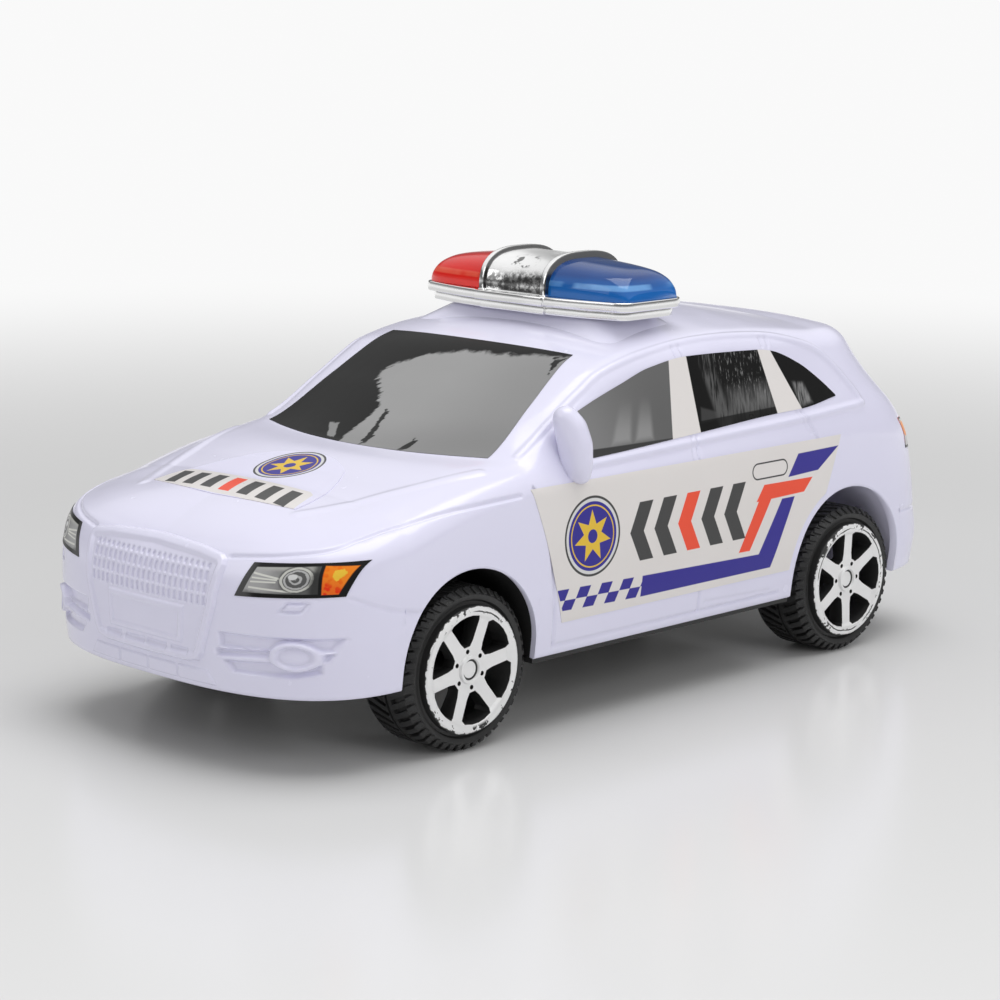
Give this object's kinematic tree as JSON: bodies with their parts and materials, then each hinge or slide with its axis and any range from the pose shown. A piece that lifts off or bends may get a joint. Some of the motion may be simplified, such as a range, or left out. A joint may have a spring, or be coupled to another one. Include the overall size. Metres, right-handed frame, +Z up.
{
  "type": "toy police car",
  "caption": "Toy police car with a moulded body, printed labels, a roof light bar and a friction flywheel drive geared to the rear axle.",
  "frame": {"origin": "on the ground, midway between the two doors and between the nose and the tail", "axes": "the front faces -Y, the car's left side is +X, +Z is up"},
  "size_m": [0.1074, 0.2391, 0.1065],
  "materials": {
    "white_body": "glossy moulded",
    "black_plastic": "satin moulded",
    "wheel_plastic": "satin moulded, bright foil on the face",
    "steel": "drawn wire",
    "gear_plastic": "satin moulded",
    "case_plastic": "satin moulded",
    "glass_print": "glossy printed label",
    "door_print": "glossy printed label",
    "lamp_print": "glossy printed label",
    "tail_print": "glossy printed label",
    "chrome": "bright plated plastic",
    "red_clear": "clear tinted",
    "blue_clear": "clear tinted"
  },
  "bodies": {
    "car": {"body_shell": "white_body", "chassis": "black_plastic", "idler_shaft": "steel", "motor_case": "case_plastic", "motor_cover": "case_plastic", "motor_screws": "steel", "chassis_screws": "steel", "windscreen_label": "glass_print", "rear_window_label": "glass_print", "left_window_label": "glass_print", "right_window_label": "glass_print", "left_door_label": "door_print", "right_door_label": "door_print", "bonnet_label": "door_print", "left_headlamp_label": "lamp_print", "right_headlamp_label": "lamp_print", "left_tail_lamp_label": "tail_print", "right_tail_lamp_label": "tail_print", "lightbar_tray": "chrome", "lightbar_frame": "chrome", "red_lens": "red_clear", "blue_lens": "blue_clear"},
    "front_wheels": {"front_axle": "steel", "front_left_wheel": "wheel_plastic", "front_right_wheel": "wheel_plastic"},
    "rear_wheels": {"rear_axle": "steel", "rear_left_wheel": "wheel_plastic", "rear_right_wheel": "wheel_plastic", "axle_gear": "gear_plastic"},
    "idler": {"idler_gear": "gear_plastic"},
    "fly": {"flywheel": "steel"}
  },
  "joints": [
    {"name": "front_axle_spin", "type": "hinge", "parent": "car", "child": "front_wheels", "pos_m": [0, -0.0655, 0.0192], "axis": [1, 0, 0], "continuous": true},
    {"name": "rear_axle_spin", "type": "hinge", "parent": "car", "child": "rear_wheels", "pos_m": [0, 0.0745, 0.0192], "axis": [1, 0, 0], "continuous": true},
    {"name": "idler_spin", "type": "hinge", "parent": "car", "child": "idler", "pos_m": [0, 0.06322, 0.0233], "axis": [1, 0, 0], "continuous": true},
    {"name": "flywheel_spin", "type": "hinge", "parent": "car", "child": "fly", "pos_m": [0, 0.05235, 0.02838], "axis": [1, 0, 0], "continuous": true}
  ],
  "couplings": [
    {"joint": "idler_spin", "follows": "rear_axle_spin", "ratio": -3},
    {"joint": "flywheel_spin", "follows": "rear_axle_spin", "ratio": 9}
  ]
}
